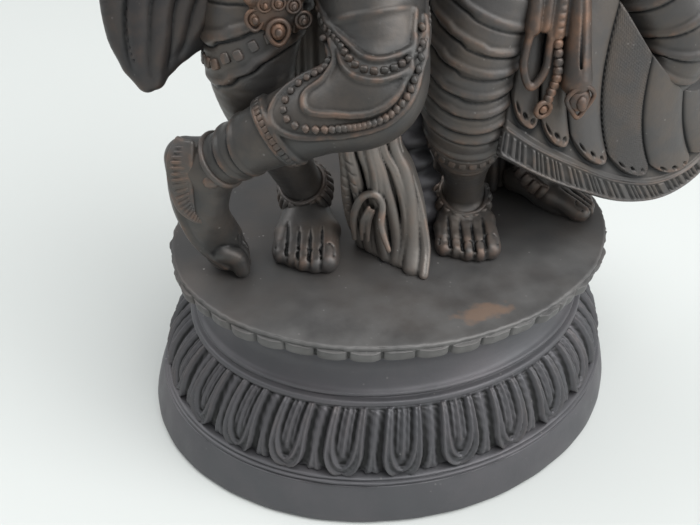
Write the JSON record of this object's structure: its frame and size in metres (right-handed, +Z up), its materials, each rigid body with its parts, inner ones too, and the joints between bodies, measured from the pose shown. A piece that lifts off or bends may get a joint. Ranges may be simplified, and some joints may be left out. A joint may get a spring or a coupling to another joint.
{
  "type": "ganesha idol",
  "caption": "Cast-bronze devotional group: a dancing elephant-headed deity and a consort in pleated skirts, on an oval lotus-petal pedestal.",
  "frame": {"origin": "centre of the flat underside of the closing plate, on the floor under the middle of the oval base", "axes": "+Z up, +X along the long side of the oval base towards the consort, the figures face -Y"},
  "size_m": [0.1976, 0.14, 0.3028],
  "materials": {
    "patina_bronze_figure": "satin, brown-black patina worn to copper on raised edges",
    "patina_bronze_base": "satin, charcoal patina with dust in the hollows",
    "steel_fixing": "zinc-plated"
  },
  "bodies": {
    "root": {"bottom_plate": "patina_bronze_base", "consort_anklets": "patina_bronze_figure", "consort_arm_left": "patina_bronze_figure", "consort_arm_right": "patina_bronze_figure", "consort_back_drape": "patina_bronze_figure", "consort_belt": "patina_bronze_figure", "consort_bent_leg": "patina_bronze_figure", "consort_crown": "patina_bronze_figure", "consort_hair_bun": "patina_bronze_figure", "consort_head": "patina_bronze_figure", "consort_hips": "patina_bronze_figure", "consort_lotus_bud": "patina_bronze_figure", "consort_necklace": "patina_bronze_figure", "consort_pendant": "patina_bronze_figure", "consort_skirt_fan": "patina_bronze_figure", "consort_straight_leg": "patina_bronze_figure", "consort_torso": "patina_bronze_figure", "deity_anklets": "patina_bronze_figure", "deity_arm_axe": "patina_bronze_figure", "deity_arm_blessing": "patina_bronze_figure", "deity_arm_noose": "patina_bronze_figure", "deity_arm_sweet": "patina_bronze_figure", "deity_axe": "patina_bronze_figure", "deity_belt": "patina_bronze_figure", "deity_crossed_leg": "patina_bronze_figure", "deity_crown": "patina_bronze_figure", "deity_ear_left": "patina_bronze_figure", "deity_ear_right": "patina_bronze_figure", "deity_front_drape": "patina_bronze_figure", "deity_head": "patina_bronze_figure", "deity_hips": "patina_bronze_figure", "deity_lotus": "patina_bronze_figure", "deity_necklace": "patina_bronze_figure", "deity_side_sash": "patina_bronze_figure", "deity_standing_leg": "patina_bronze_figure", "deity_sweet": "patina_bronze_figure", "deity_tassel": "patina_bronze_figure", "deity_torso": "patina_bronze_figure", "deity_trunk": "patina_bronze_figure", "deity_tusks": "patina_bronze_figure", "foot_studs": "steel_fixing", "lotus_ring": "patina_bronze_base", "neck_drum": "patina_bronze_base", "plinth_band": "patina_bronze_base", "stud_nuts": "steel_fixing", "stud_washers": "steel_fixing", "support_web": "patina_bronze_figure", "tie_nuts": "steel_fixing", "tie_rods": "steel_fixing", "top_slab": "patina_bronze_base"}
  },
  "joints": []
}
